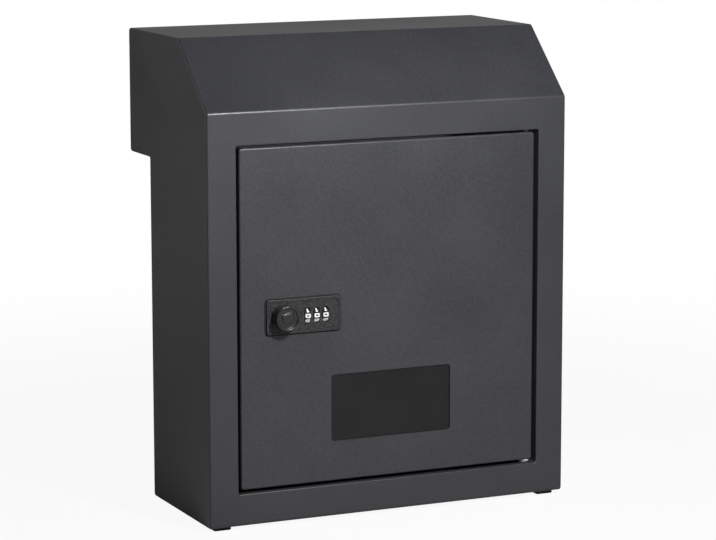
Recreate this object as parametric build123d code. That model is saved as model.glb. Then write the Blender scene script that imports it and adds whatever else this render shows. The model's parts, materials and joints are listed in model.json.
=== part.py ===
from build123d import *

import os
from math import atan2, cos, radians, sin, tan

# Through-wall mailbox: a folded steel cabinet with a sloped hood, a rear sleeve that passes
# through the wall, and a pivoting front door with a window and a three-wheel combination lock.
# Millimetres. X points right as seen from the front, Y points into the wall, Z points up.
# The origin is the centre of the four wall bolts, on the wall plane.

# Cabinet envelope
body_width = 318.0
body_height = 388.0
body_depth = 127.0
slope_drop = 54.5
slope_setback = 60.0
sleeve_depth = 46.0
sleeve_height = 103.0

# Sheet metal
sheet = 1.2
bend_radius = 3.0
side_edge_radius = 1.5
seam_offset = 1.0

# Wall bolts
bolt_spacing_x = 220.0
bolt_spacing_z = 180.0
bolt_hole_radius = 3.5
bolt_centre_height = 150.0

# Deposit slot in the rear face of the sleeve
slot_side_margin = 24.0
slot_rise = 26.0
slot_drop = 27.0
slot_corner_radius = 5.0

# Front opening and its lips
lock_stile = 24.8
hinge_stile = 24.6
bottom_rail = 26.2
top_rail = 26.7
lip_depth = 18.0
opening_edge_radius = 1.0
opening_corner_radius = 1.5

# Door
door_recess = 2.0
door_depth = 11.0
door_gap_lock = 3.0
door_gap_hinge = 2.9
door_gap_top = 2.1
door_gap_bottom = 2.8
door_edge_radius = 1.6
door_corner_radius = 2.5

# Door pivots
pivot_inset = 5.0
pivot_set_back = 6.0
pivot_pin_radius = 2.0
pivot_head_radius = 3.0
pivot_head_height = 2.0
pivot_running_clearance = 0.05
bush_rim_radius = 5.2
bush_flange_radius = 5.0
bush_flange_height = 1.6
bush_barrel_radius = 2.9
bush_seat_step = 0.4
bush_snap_step = 0.5
bush_snap_height = 1.2
bush_tail = 1.0
bush_float = 0.2

# Window
window_width = 107.0
window_height = 55.0
window_corner_radius = 3.0
window_rise = 32.8
window_offset = 1.2
pane_thickness = 2.0
pane_overlap = 8.0
stud_radius = 1.5
stud_length = 7.0
stud_edge_distance = 4.0
push_nut_radius = 4.0
push_nut_height = 1.0
fixed_clearance = 0.1

# Combination lock housing
plate_flange_x = 4.15
plate_flange_z = 4.2
plate_proud = 2.0
plate_corner_radius = 2.5
plate_edge_radius = 0.7
plate_border_width = 2.2
plate_border_height = 0.4
plate_inset = 22.1
plate_rise = 138.8
knob_end_distance = 10.6
knob_chamber_distance = 16.95
chamber_end_wall = 5.1
chamber_wall = 1.4
back_cover_thickness = 1.5
clamp_sheet = 1.5
clamp_flange = 4.0
clamp_ear_depth = 8.0
small_screw_radius = 1.0
small_screw_head_radius = 1.8
small_screw_head_height = 1.2
small_screw_grip = 4.0
clamp_screw_grip = 2.5
cover_screw_inset = 2.6

# Dial wheels
dial_count = 3
dial_spacing = 7.8
dial_drop = 0.6
dial_radius = 7.5
dial_faces = 10
dial_width = 4.9
dial_protrusion = 1.0
dial_hub_radius = 3.5
dial_side_gap = 0.3
dial_slot_width = 5.6
dial_slot_height = 13.4
dial_slot_skin = 1.0
dial_cavity_clearance = 0.5
dial_bore_clearance = 0.05
dial_edge_chamfer = 0.3
dial_axle_radius = 1.25
axle_end_length = 2.0
detent_sheet = 0.3
detent_bow = 1.1
detent_gap = 0.3

# Knob, spindle and cam
knob_base_radius = 10.4
knob_face_radius = 9.8
knob_height = 9.6
knob_gap = 0.3
knob_rim_radius = 0.7
knob_rim_width = 1.6
knob_dish_depth = 1.2
knob_boss_radius = 4.4
knob_boss_height = 0.8
spindle_radius = 4.0
spindle_socket_depth = 6.5
spindle_clearance = 0.05
cam_square = 6.0
cam_thickness = 2.0
cam_reach = 46.0
cam_width = 14.0
cam_gap = 1.0
cam_screw_radius = 2.0
cam_screw_depth = 6.0
cam_screw_head_radius = 4.5
cam_screw_head_height = 2.4

# Door stops
stop_height = 24.0
stop_reach = 8.0
stop_margin = 34.0
bumper_thickness = 1.3
bumper_gap = 0.3

# Feet
foot_width = 14.6
foot_height = 3.2
foot_edge_distance = 13.0
foot_corner_radius = 1.2
foot_edge_radius = 0.4
foot_recess_depth = 2.0
foot_screw_radius = 2.0
foot_screw_head_radius = 3.5
foot_screw_head_height = 1.6
foot_nut_radius = 4.0
foot_nut_height = 3.2
foot_screw_tail = 1.0

# Anti-fishing baffle under the hood
baffle_flange = 14.0
baffle_rear_y = -8.0
baffle_length = 62.0
baffle_lean = 35.0
baffle_side_gap = 6.0

# Places that follow from the sizes above
front_y = -body_depth
bottom_z = -bolt_centre_height
top_z = bottom_z + body_height
slope_z = top_z - slope_drop
sleeve_floor_z = top_z - sleeve_height
half_width = body_width / 2
slope_bend = atan2(slope_setback, slope_drop)
slope_bend_tangent = bend_radius * tan(slope_bend / 2)
front_seam_z = slope_z - slope_bend_tangent - seam_offset
bottom_seam_y = front_y + bend_radius + seam_offset
rear_seam_y = -bend_radius - seam_offset
sleeve_seam_z = top_z - bend_radius - seam_offset

opening_left = -half_width + lock_stile
opening_right = half_width - hinge_stile
opening_bottom = bottom_z + bottom_rail
opening_top = slope_z - top_rail
lip_rear_y = front_y + lip_depth

door_left = opening_left + door_gap_lock
door_right = opening_right - door_gap_hinge
door_bottom = opening_bottom + door_gap_bottom
door_top = opening_top - door_gap_top
door_front_y = front_y + door_recess
door_inner_y = door_front_y + sheet
door_rear_y = door_front_y + door_depth

pivot_x = door_right - pivot_inset
pivot_y = door_front_y + pivot_set_back

window_x = (opening_left + opening_right) / 2 + window_offset
window_z = door_bottom + window_rise + window_height / 2

chamber_half_width = dial_spacing * dial_count / 2 + dial_side_gap / 2
chamber_half_height = dial_radius + dial_cavity_clearance
lock_body_left = door_left + plate_inset + plate_flange_x
knob_x = lock_body_left + knob_end_distance
dial_x = knob_x + knob_chamber_distance + chamber_half_width
lock_body_right = dial_x + chamber_half_width + chamber_end_wall
lock_body_width = lock_body_right - lock_body_left
lock_body_height = 2 * (chamber_half_height + dial_drop + chamber_wall)
plate_x = (lock_body_left + lock_body_right) / 2
plate_z = door_bottom + plate_rise
dial_z = plate_z - dial_drop
plate_y = door_front_y - plate_proud
dial_y = plate_y - dial_protrusion + dial_radius
dial_xs = [dial_x + dial_spacing * (i - (dial_count - 1) / 2) for i in range(dial_count)]
lock_body_rear_y = dial_y + dial_radius + detent_gap + detent_bow + detent_sheet
lock_body_depth = lock_body_rear_y - door_front_y
cover_rear_y = lock_body_rear_y + back_cover_thickness
cam_front_y = max(lip_rear_y, cover_rear_y) + cam_gap
cam_rear_y = cam_front_y + cam_thickness

UP = (0, 0, 1)
DOWN = (0, 0, -1)
REARWARD = (0, 1, 0)
FORWARD = (0, -1, 0)
RIGHT = (1, 0, 0)


def block(x_low, x_high, y_low, y_high, z_low, z_high):
    """Box between two values on each axis."""
    centre = Pos((x_low + x_high) / 2, (y_low + y_high) / 2, (z_low + z_high) / 2)
    return centre * Box(x_high - x_low, y_high - y_low, z_high - z_low)


def rod(start, direction, radius, length):
    """Round bar that starts at a point and runs in a direction."""
    base = (Align.CENTER, Align.CENTER, Align.MIN)
    return Plane(origin=start, z_dir=direction) * Cylinder(radius, length, align=base)


def hexagon(start, direction, radius, length):
    """Six-sided bar that starts at a point and runs in a direction."""
    return extrude(Plane(origin=start, z_dir=direction) * RegularPolygon(radius, 6), amount=length)


def facing_front(outline, y_start, depth):
    """Outline drawn in x and z, carried from y_start towards the wall."""
    return extrude(Plane.XZ.offset(-y_start) * outline, amount=-depth)


def rounded_panel(x_low, x_high, z_low, z_high, corner_radius):
    """Rounded rectangle drawn in x and z."""
    centre = Pos((x_low + x_high) / 2, (z_low + z_high) / 2)
    return centre * RectangleRounded(x_high - x_low, z_high - z_low, corner_radius)


def square_panel(x_low, x_high, z_low, z_high):
    """Sharp-cornered rectangle drawn in x and z."""
    centre = Pos((x_low + x_high) / 2, (z_low + z_high) / 2)
    return centre * Rectangle(x_high - x_low, z_high - z_low)


def window_outline(margin, corner_radius):
    """Window rectangle grown by a margin on every side."""
    size = (window_width + 2 * margin, window_height + 2 * margin)
    return Pos(window_x, window_z) * RectangleRounded(*size, corner_radius)


def cabinet_outline():
    """Side outline of the cabinet in y and z, with its sheet bends rounded."""
    corners = [
        (front_y, bottom_z),
        (front_y, slope_z),
        (front_y + slope_setback, top_z),
        (sleeve_depth, top_z),
        (sleeve_depth, sleeve_floor_z),
        (0, sleeve_floor_z),
        (0, bottom_z),
    ]
    outline = make_face(Polyline(*corners, close=True))
    inner_corner = (0, sleeve_floor_z)
    by_distance = outline.vertices().sort_by_distance(inner_corner)
    outline = fillet(by_distance[1:], bend_radius)
    nearest = outline.vertices().sort_by_distance(inner_corner)[0]
    return fillet(nearest, bend_radius - sheet)


def cabinet_block(inset, half):
    """Cabinet outline, drawn in by an inset, carried across the width."""
    outline = cabinet_outline()
    if inset > 0:
        outline = offset(outline, amount=-inset)
    return extrude(Plane.YZ * outline, amount=half, both=True)


def cabinet_wrapper():
    """Sheet that runs round the cabinet between its two flat sides."""
    outside = cabinet_block(0, half_width)
    side_edges = outside.faces().filter_by(Axis.X).edges()
    outside = fillet(side_edges, side_edge_radius)
    inside = cabinet_block(sheet, half_width - sheet)
    side_plates = cabinet_block(side_edge_radius, half_width)
    return outside - inside - side_plates


def side_panel(side):
    """Flat side, with the sleeve's side and the hood's slope in its outline."""
    outline = offset(cabinet_outline(), amount=-side_edge_radius)
    inner_face = Plane.YZ.offset(side * (half_width - sheet))
    return extrude(inner_face * outline, amount=side * sheet)


def bush_hole(z_low, z_high):
    """Hole for a bush barrel on the door's pivot line."""
    return rod((pivot_x, pivot_y, z_low), UP, bush_barrel_radius, z_high - z_low)


def front_frame(wrapper):
    """Front sheet with the door opening and the lips that run in behind it."""
    beyond = body_width
    zone = block(-beyond, beyond, front_y - 1, bottom_seam_y, bottom_z - 1, front_seam_z)
    opening = rounded_panel(
        opening_left, opening_right, opening_bottom, opening_top, opening_corner_radius
    )
    lip_outline = rounded_panel(
        opening_left - sheet,
        opening_right + sheet,
        opening_bottom - sheet,
        opening_top + sheet,
        opening_corner_radius + sheet,
    )
    lips = facing_front(lip_outline, front_y, lip_depth)
    frame = (wrapper & zone) + lips - facing_front(opening, front_y - 1, lip_depth + 2)
    rim = frame.faces().filter_by(Axis.Y).sort_by(Axis.Y)[0].inner_wires()[0].edges()
    frame = fillet(rim, opening_edge_radius)
    frame -= bush_hole(opening_bottom - 2 * sheet, opening_bottom + sheet)
    return frame - bush_hole(opening_top - sheet, opening_top + 2 * sheet)


def hood_panel(wrapper):
    """Sheet that forms the slope, the flat top and the top rear bend."""
    beyond = body_width
    zone = block(-beyond, beyond, front_y - 1, sleeve_depth + 1, front_seam_z, top_z + 1)
    rear_y = sleeve_depth - bend_radius
    below = block(-beyond, beyond, rear_y, sleeve_depth + 1, front_seam_z - 1, sleeve_seam_z)
    return (wrapper & zone) - below


def bolt_places():
    """Wall bolt centres in x and z."""
    return [
        (sx * bolt_spacing_x / 2, sz * bolt_spacing_z / 2) for sx in (-1, 1) for sz in (-1, 1)
    ]


def back_panel(wrapper):
    """Wall face, sleeve floor and sleeve rear face, folded from one sheet."""
    beyond = body_width
    zone = block(-beyond, beyond, rear_seam_y, sleeve_depth + 1, bottom_z - 1, sleeve_seam_z)
    panel = wrapper & zone
    for x, z in bolt_places():
        panel -= rod((x, -2 * sheet, z), REARWARD, bolt_hole_radius, 4 * sheet)
    slot = rounded_panel(
        -half_width + slot_side_margin,
        half_width - slot_side_margin,
        sleeve_floor_z + slot_rise,
        top_z - slot_drop,
        slot_corner_radius,
    )
    return panel - facing_front(slot, sleeve_depth - 2 * sheet, 4 * sheet)


def foot_places():
    """Foot centres in x and y."""
    x = half_width - foot_edge_distance
    rows = (front_y + foot_edge_distance, -foot_edge_distance)
    return [(side * x, y) for y in rows for side in (-1, 1)]


def bottom_panel(wrapper):
    """Floor sheet with the four foot screw holes."""
    beyond = body_width
    zone = block(-beyond, beyond, bottom_seam_y, rear_seam_y, bottom_z - 1, bottom_z + bend_radius)
    panel = wrapper & zone
    for x, y in foot_places():
        hole_radius = foot_screw_radius + fixed_clearance
        panel -= rod((x, y, bottom_z - sheet), UP, hole_radius, 3 * sheet)
    return panel


def anti_fishing_baffle():
    """Bent sheet under the hood that leans forward in front of the deposit slot."""
    lean = radians(baffle_lean)
    ceiling = top_z - sheet
    front_end = baffle_rear_y - baffle_flange
    along = sheet * (1 - sin(lean)) / cos(lean)
    tip = (front_end - baffle_length * sin(lean), ceiling - baffle_length * cos(lean))
    points = [
        (baffle_rear_y, ceiling),
        (front_end, ceiling),
        tip,
        (tip[0] + sheet * cos(lean), tip[1] - sheet * sin(lean)),
        (front_end + sheet * cos(lean) - along * sin(lean), ceiling - sheet),
        (baffle_rear_y, ceiling - sheet),
    ]
    outline = make_face(Polyline(*points, close=True))
    half = half_width - sheet - baffle_side_gap
    return extrude(Plane.YZ * outline, amount=half, both=True)


def bush_bore(z_low, z_high):
    """Bore of a bush, in which a pivot pin turns."""
    bore_radius = pivot_pin_radius + pivot_running_clearance
    return rod((pivot_x, pivot_y, z_low), UP, bore_radius, z_high - z_low)


def lower_hinge_bush():
    """Nylon bush that snaps into the lower lip, with a tapered rim that carries the door."""
    rim_height = door_gap_bottom - bush_float
    rim_z = opening_bottom + rim_height
    tail_z = opening_bottom - sheet - bush_snap_height - bush_tail
    seat_radius = bush_barrel_radius + bush_seat_step
    base = (Align.CENTER, Align.CENTER, Align.MIN)
    bush = Pos(pivot_x, pivot_y, opening_bottom) * Cone(
        seat_radius, bush_rim_radius, rim_height, align=base
    )
    bush += rod((pivot_x, pivot_y, tail_z), UP, bush_barrel_radius, opening_bottom - tail_z)
    snap_radius = bush_barrel_radius + bush_snap_step
    bush += rod((pivot_x, pivot_y, tail_z + bush_tail), UP, snap_radius, bush_snap_height)
    return bush - bush_bore(tail_z - 1, rim_z + 1)


def upper_hinge_bush():
    """Nylon bush that drops into the upper lip from above and ends flush with its lower face."""
    flange_z = opening_top + sheet
    flange_top_z = flange_z + bush_flange_height
    bush = rod((pivot_x, pivot_y, opening_top), UP, bush_barrel_radius, sheet)
    bush += rod((pivot_x, pivot_y, flange_z), UP, bush_flange_radius, bush_flange_height)
    return bush - bush_bore(opening_top - 1, flange_top_z + 1)


def pivot_pin(flange_z, direction, gap):
    """Headed pin through a door flange, turning in its bush."""
    outward = (0, 0, direction)
    inner_z = flange_z - direction * sheet
    head_start = (pivot_x, pivot_y, inner_z - direction * pivot_head_height)
    pin = rod(head_start, outward, pivot_head_radius, pivot_head_height)
    shank_length = sheet + gap + sheet + bush_snap_height
    pin += rod((pivot_x, pivot_y, inner_z), outward, pivot_pin_radius, shank_length)
    tip_edges = pin.faces().sort_by(Axis.Z)[-1 if direction > 0 else 0].edges()
    return chamfer(tip_edges, pivot_pin_radius / 4)


def door_panel():
    """Folded door pan with its lock and window cut-outs and pivot holes."""
    outline = rounded_panel(door_left, door_right, door_bottom, door_top, door_corner_radius)
    pan = facing_front(outline, door_front_y, door_depth)
    pan = fillet(pan.faces().sort_by(Axis.Y)[0].edges(), door_edge_radius)
    hollow_outline = square_panel(
        door_left + sheet,
        door_right - sheet,
        door_bottom + sheet,
        door_top - sheet,
    )
    hollow = facing_front(hollow_outline, door_inner_y, door_depth)
    hollow = fillet(hollow.faces().sort_by(Axis.Y)[0].edges(), door_edge_radius - sheet)
    pan -= hollow
    pan -= facing_front(window_outline(0, window_corner_radius), door_front_y - 1, sheet + 2)
    lock_hole = Pos(plate_x, plate_z) * Rectangle(
        lock_body_width + 2 * fixed_clearance, lock_body_height + 2 * fixed_clearance
    )
    pan -= facing_front(lock_hole, door_front_y - 1, sheet + 2)
    pin_hole_radius = pivot_pin_radius + fixed_clearance
    for flange_z in (door_bottom, door_top):
        pan -= rod((pivot_x, pivot_y, flange_z - 2 * sheet), UP, pin_hole_radius, 4 * sheet)
    return pan


def stud_places():
    """Weld stud centres in x and z, outside the corners of the window."""
    dx = window_width / 2 + pane_overlap - stud_edge_distance
    dz = window_height / 2 + pane_overlap - stud_edge_distance
    return [(window_x + sx * dx, window_z + sz * dz) for sx in (-1, 1) for sz in (-1, 1)]


def window_pane():
    """Smoked acrylic sheet behind the window cut-out, holed for its studs."""
    pane = facing_front(
        window_outline(pane_overlap, window_corner_radius), door_inner_y, pane_thickness
    )
    for x, z in stud_places():
        hole_radius = stud_radius + fixed_clearance
        pane -= rod((x, door_inner_y - 1, z), REARWARD, hole_radius, pane_thickness + 2)
    return pane


def window_studs():
    """Four weld studs on the door's inner face."""
    return [rod((x, door_inner_y, z), REARWARD, stud_radius, stud_length) for x, z in stud_places()]


def window_push_nuts():
    """Four push-on nuts that hold the pane against the door."""
    seat_y = door_inner_y + pane_thickness
    nuts = []
    for x, z in stud_places():
        nut = rod((x, seat_y, z), REARWARD, push_nut_radius, push_nut_height)
        nut = chamfer(nut.faces().sort_by(Axis.Y)[-1].edges(), push_nut_height / 3)
        nuts.append(nut - rod((x, seat_y, z), REARWARD, stud_radius, push_nut_height))
    return nuts


def lock_body_block(margin, y_start, depth):
    """Rectangle of the lock's body, grown by a margin, carried towards the wall."""
    size = (lock_body_width + 2 * margin, lock_body_height + 2 * margin)
    return facing_front(Pos(plate_x, plate_z) * Rectangle(*size), y_start, depth)


def cover_screw_places():
    """Back cover screw centres in x and z."""
    dx = lock_body_width / 2 - cover_screw_inset
    dz = lock_body_height / 2 - cover_screw_inset
    return [(plate_x + sx * dx, plate_z + sz * dz) for sx in (-1, 1) for sz in (-1, 1)]


def lock_housing():
    """Die-cast bordered face plate and body with dial slots, chamber and spindle bore."""
    plate_width = lock_body_width + 2 * plate_flange_x
    plate_height = lock_body_height + 2 * plate_flange_z
    plate_outline = Pos(plate_x, plate_z) * RectangleRounded(
        plate_width, plate_height, plate_corner_radius
    )
    plate = facing_front(plate_outline, plate_y, plate_proud)
    plate = fillet(plate.faces().sort_by(Axis.Y)[0].edges(), plate_edge_radius)
    panel_outline = Pos(plate_x, plate_z) * RectangleRounded(
        plate_width - 2 * plate_border_width,
        plate_height - 2 * plate_border_width,
        plate_corner_radius / 2,
    )
    plate -= facing_front(panel_outline, plate_y - 1, plate_border_height + 1)
    housing = plate + lock_body_block(0, door_front_y, lock_body_depth)
    housing -= block(
        dial_x - chamber_half_width,
        dial_x + chamber_half_width,
        plate_y + plate_border_height + dial_slot_skin,
        lock_body_rear_y + 1,
        dial_z - chamber_half_height,
        dial_z + chamber_half_height,
    )
    slot = SlotOverall(dial_slot_height, dial_slot_width, rotation=90)
    for x in dial_xs:
        slot_depth = plate_border_height + dial_slot_skin + 2
        housing -= facing_front(Pos(x, dial_z) * slot, plate_y - 1, slot_depth)
    bore_radius = spindle_radius + spindle_clearance
    bore_length = plate_proud + lock_body_depth + 2
    housing -= rod((knob_x, plate_y - 1, plate_z), REARWARD, bore_radius, bore_length)
    axle_half = chamber_half_width + axle_end_length
    axle_start = (dial_x - axle_half, dial_y, dial_z)
    housing -= rod(axle_start, RIGHT, dial_axle_radius, 2 * axle_half)
    for x, z in cover_screw_places():
        tail_y = lock_body_rear_y - small_screw_grip
        housing -= rod((x, tail_y, z), REARWARD, small_screw_radius, small_screw_grip + 1)
    for side in (-1, 1):
        housing -= clamp_screw_shank(side)
    return housing


def lock_back_cover():
    """Plate that closes the lock body and carries the spindle's rear end."""
    cover = lock_body_block(0, lock_body_rear_y, back_cover_thickness)
    bore_radius = spindle_radius + spindle_clearance
    bore_length = back_cover_thickness + 2
    cover -= rod((knob_x, lock_body_rear_y - 1, plate_z), REARWARD, bore_radius, bore_length)
    for x, z in cover_screw_places():
        cover -= rod((x, lock_body_rear_y - 1, z), REARWARD, small_screw_radius, bore_length)
    return cover


def screw(head_seat, direction, shank_radius, shank_length, head_radius, head_height):
    """Pan-head screw whose head sits on a point and whose shank runs in a direction."""
    backward = tuple(-part for part in direction)
    head = rod(head_seat, backward, head_radius, head_height)
    crown = head.faces().sort_by_distance(Vector(*head_seat))[-1]
    head = fillet(crown.edges(), head_height / 3)
    return head + rod(head_seat, direction, shank_radius, shank_length)


def lock_cover_screws():
    """Four small screws through the back cover into the lock body."""
    return [
        screw(
            (x, cover_rear_y, z),
            FORWARD,
            small_screw_radius,
            small_screw_grip + back_cover_thickness,
            small_screw_head_radius,
            small_screw_head_height,
        )
        for x, z in cover_screw_places()
    ]


def clamp_ear_face_x(side):
    """Outer face of the clamp bracket's ear on one side."""
    return plate_x + side * (lock_body_width / 2 + fixed_clearance + clamp_sheet)


def clamp_screw_y():
    """Depth of the clamp screws behind the front."""
    return door_inner_y + clamp_sheet + clamp_ear_depth / 2


def clamp_screw_shank(side):
    """Space of one clamp screw's shank in the lock body."""
    start = (clamp_ear_face_x(side), clamp_screw_y(), plate_z)
    length = clamp_sheet + fixed_clearance + clamp_screw_grip
    return rod(start, (-side, 0, 0), small_screw_radius, length)


def lock_clamp_bracket():
    """Bent plate round the lock body that pulls the face plate onto the door."""
    ring = lock_body_block(clamp_flange, door_inner_y, clamp_sheet)
    ears = []
    for side in (-1, 1):
        inner_x = plate_x + side * (lock_body_width / 2 + fixed_clearance)
        x_low, x_high = sorted((inner_x, clamp_ear_face_x(side)))
        half_height = lock_body_height / 4
        ears.append(
            block(
                x_low,
                x_high,
                door_inner_y + clamp_sheet / 2,
                door_inner_y + clamp_sheet + clamp_ear_depth,
                plate_z - half_height,
                plate_z + half_height,
            )
        )
    bracket = ring + ears[0] + ears[1]
    bracket -= lock_body_block(fixed_clearance, door_inner_y - 1, clamp_sheet + 2)
    for side in (-1, 1):
        bracket -= clamp_screw_shank(side)
    return bracket


def lock_clamp_screws():
    """Two screws from the sides through the bracket's ears into the lock body."""
    return [
        screw(
            (clamp_ear_face_x(side), clamp_screw_y(), plate_z),
            (-side, 0, 0),
            small_screw_radius,
            clamp_sheet + fixed_clearance + clamp_screw_grip,
            small_screw_head_radius,
            small_screw_head_height,
        )
        for side in (-1, 1)
    ]


def dial_axle():
    """Steel pin that carries the dial wheels."""
    half = chamber_half_width + axle_end_length
    return rod((dial_x - half, dial_y, dial_z), RIGHT, dial_axle_radius, 2 * half)


def dial_wheel(x):
    """Ten-sided number wheel with a hub, a flat turned to the front."""
    face_angle = 180 / dial_faces
    rim = RegularPolygon(dial_radius, dial_faces, rotation=face_angle)
    wheel_plane = Plane(origin=(x, dial_y, dial_z), x_dir=REARWARD, z_dir=RIGHT)
    wheel = extrude(wheel_plane * rim, amount=dial_width / 2, both=True)
    wheel = chamfer(wheel.faces().filter_by(Axis.X).edges(), dial_edge_chamfer)
    hub_half = (dial_spacing - dial_side_gap) / 2
    wheel += rod((x - hub_half, dial_y, dial_z), RIGHT, dial_hub_radius, 2 * hub_half)
    bore_radius = dial_axle_radius + dial_bore_clearance
    return wheel - rod((x - dial_spacing, dial_y, dial_z), RIGHT, bore_radius, 2 * dial_spacing)


def dial_detent_spring():
    """Spring strip on the back cover with one raised bow behind each wheel."""
    strip_y = lock_body_rear_y - detent_sheet
    strip = block(
        dial_x - chamber_half_width + detent_gap,
        dial_x + chamber_half_width - detent_gap,
        strip_y,
        lock_body_rear_y,
        dial_z - dial_radius / 2,
        dial_z + dial_radius / 2,
    )
    for x in dial_xs:
        bow = rod((x - dial_width / 2, strip_y, dial_z), RIGHT, detent_bow, dial_width)
        strip += bow & block(
            x - dial_width,
            x + dial_width,
            strip_y - 2 * detent_bow,
            lock_body_rear_y,
            dial_z - 2 * detent_bow,
            dial_z + 2 * detent_bow,
        )
    return strip


def lock_knob():
    """Round knob with a raised rim, a dished face and a low central boss."""
    rear = plate_y - knob_gap
    face = rear - knob_height
    dish_radius = knob_face_radius - knob_rim_width
    dish_floor = face + knob_dish_depth
    boss_top = dish_floor - knob_boss_height
    profile = [
        (0, rear),
        (knob_base_radius, rear),
        (knob_face_radius, face),
        (dish_radius, face),
        (dish_radius - knob_dish_depth / 2, dish_floor),
        (knob_boss_radius, dish_floor),
        (knob_boss_radius - knob_boss_height / 2, boss_top),
        (0, boss_top),
    ]
    section = make_face(Polyline(*profile, close=True))
    knob = Pos(knob_x, 0, plate_z) * revolve(section, Axis.Y)
    rim_edges = knob.edges().filter_by(GeomType.CIRCLE).group_by(Axis.Y)[0]
    knob = fillet(rim_edges, knob_rim_radius)
    socket_start = (knob_x, rear - spindle_socket_depth, plate_z)
    return knob - rod(socket_start, REARWARD, spindle_radius, spindle_socket_depth + 1)


def spindle_square(y_start, depth):
    """Square with rounded corners that the spindle and the cam's hole share."""
    square = Pos(knob_x, plate_z) * Rectangle(cam_square, cam_square)
    rounding = rod((knob_x, y_start, plate_z), REARWARD, spindle_radius, depth)
    return facing_front(square, y_start, depth) & rounding


def lock_spindle():
    """Shaft from the knob through the lock to the cam, with a squared rear end."""
    front = plate_y - knob_gap - spindle_socket_depth
    shaft = rod((knob_x, front, plate_z), REARWARD, spindle_radius, cam_front_y - front)
    shaft += spindle_square(cam_front_y, cam_thickness)
    tap_start = (knob_x, cam_rear_y - cam_screw_depth, plate_z)
    return shaft - rod(tap_start, REARWARD, cam_screw_radius, cam_screw_depth + 1)


def lock_cam():
    """Flat cam that hangs down when unlocked and turns up behind the lock-side lip."""
    hub_radius = cam_width / 2
    arm_bottom = plate_z - cam_reach + hub_radius
    outline = Pos(knob_x, plate_z) * Circle(hub_radius)
    arm_centre_z = (plate_z + arm_bottom) / 2
    outline += Pos(knob_x, arm_centre_z) * Rectangle(cam_width, plate_z - arm_bottom)
    outline += Pos(knob_x, arm_bottom) * Circle(hub_radius)
    cam = facing_front(outline, cam_front_y, cam_thickness)
    return cam - spindle_square(cam_front_y - 1, cam_thickness + 2)


def cam_screw():
    """Screw that holds the cam on the spindle."""
    return screw(
        (knob_x, cam_rear_y, plate_z),
        FORWARD,
        cam_screw_radius,
        cam_screw_depth,
        cam_screw_head_radius,
        cam_screw_head_height,
    )


def stop_spans():
    """Height ranges of the two door stops on the lock-side lip."""
    low = opening_bottom + stop_margin
    high = opening_top - stop_margin
    return [(low, low + stop_height), (high - stop_height, high)]


def bumper_front_y():
    """Front face of the rubber bumpers, just behind the closed door's flange."""
    return door_rear_y + bumper_gap


def door_stops():
    """Two tabs welded inside the lock-side lip."""
    seat_y = bumper_front_y() + bumper_thickness
    return [
        block(opening_left, opening_left + stop_reach, seat_y, seat_y + sheet, low, high)
        for low, high in stop_spans()
    ]


def door_bumpers():
    """Rubber pads on the front of the door stops."""
    front = bumper_front_y()
    return [
        block(
            opening_left,
            opening_left + stop_reach,
            front,
            front + bumper_thickness,
            low,
            high,
        )
        for low, high in stop_spans()
    ]


def rubber_feet():
    """Four low square feet, each with a recess for its screw head."""
    tread = RectangleRounded(foot_width, foot_width, foot_corner_radius)
    feet = []
    for x, y in foot_places():
        foot = extrude(Pos(x, y, bottom_z - foot_height) * tread, amount=foot_height)
        foot = fillet(foot.faces().sort_by(Axis.Z)[0].edges(), foot_edge_radius)
        hole_radius = foot_screw_radius + fixed_clearance
        foot -= rod((x, y, bottom_z), DOWN, hole_radius, foot_height)
        recess_radius = foot_screw_head_radius + 4 * fixed_clearance
        ground = (x, y, bottom_z - foot_height)
        feet.append(foot - rod(ground, UP, recess_radius, foot_recess_depth))
    return feet


def foot_screws():
    """Four screws from below through the feet and the floor sheet."""
    seat_z = bottom_z - foot_height + foot_recess_depth
    length = bottom_z - seat_z + sheet + foot_nut_height + foot_screw_tail
    return [
        screw(
            (x, y, seat_z),
            UP,
            foot_screw_radius,
            length,
            foot_screw_head_radius,
            foot_screw_head_height,
        )
        for x, y in foot_places()
    ]


def foot_nuts():
    """Four hexagon nuts inside, on the floor sheet."""
    nuts = []
    for x, y in foot_places():
        seat = (x, y, bottom_z + sheet)
        nut = hexagon(seat, UP, foot_nut_radius, foot_nut_height)
        nuts.append(nut - rod(seat, UP, foot_screw_radius, foot_nut_height))
    return nuts


def all_nodes():
    """Every sub-part, by the name of its node."""
    wrapper = cabinet_wrapper()
    nodes = {
        "front_frame": front_frame(wrapper),
        "hood_panel": hood_panel(wrapper),
        "back_panel": back_panel(wrapper),
        "bottom_panel": bottom_panel(wrapper),
        "side_panel_left": side_panel(-1),
        "side_panel_right": side_panel(1),
        "anti_fishing_baffle": anti_fishing_baffle(),
        "lower_hinge_bush": lower_hinge_bush(),
        "upper_hinge_bush": upper_hinge_bush(),
        "door_stops": door_stops(),
        "door_bumpers": door_bumpers(),
        "rubber_feet": rubber_feet(),
        "foot_screws": foot_screws(),
        "foot_nuts": foot_nuts(),
        "door_panel": door_panel(),
        "lower_pivot_pin": pivot_pin(door_bottom, -1, door_gap_bottom),
        "upper_pivot_pin": pivot_pin(door_top, 1, door_gap_top),
        "window_pane": window_pane(),
        "window_studs": window_studs(),
        "window_push_nuts": window_push_nuts(),
        "lock_housing": lock_housing(),
        "lock_back_cover": lock_back_cover(),
        "lock_cover_screws": lock_cover_screws(),
        "lock_clamp_bracket": lock_clamp_bracket(),
        "lock_clamp_screws": lock_clamp_screws(),
        "dial_axle": dial_axle(),
        "dial_detent_spring": dial_detent_spring(),
        "lock_knob": lock_knob(),
        "lock_spindle": lock_spindle(),
        "lock_cam": lock_cam(),
        "cam_screw": cam_screw(),
    }
    for number, x in enumerate(dial_xs, start=1):
        nodes[f"dial_wheel_{number}"] = dial_wheel(x)
    return nodes


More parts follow.
